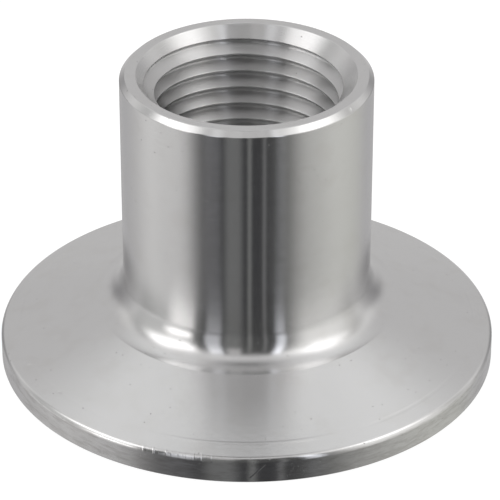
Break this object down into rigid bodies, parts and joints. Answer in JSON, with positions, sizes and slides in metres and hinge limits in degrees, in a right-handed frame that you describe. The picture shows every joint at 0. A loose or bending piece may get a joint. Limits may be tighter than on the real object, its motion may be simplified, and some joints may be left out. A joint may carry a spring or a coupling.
{
  "type": "sanitary clamp threaded adapter",
  "caption": "One-piece turned steel clamp ferrule that joins a clamped flange with a gasket groove to a barrel with an internal taper pipe thread.",
  "frame": {"origin": "centre of the gasket face, on the plane that the flange stands on", "axes": "+Z along the bore axis, from the gasket face towards the threaded mouth; the part is turned, so X and Y differ only in where the thread starts"},
  "size_m": [0.0505, 0.0504, 0.0315],
  "materials": {
    "turned_steel": "bare stainless steel with a fine turned finish, uncoated"
  },
  "bodies": {
    "root": {"adapter_body": "turned_steel"}
  },
  "joints": []
}
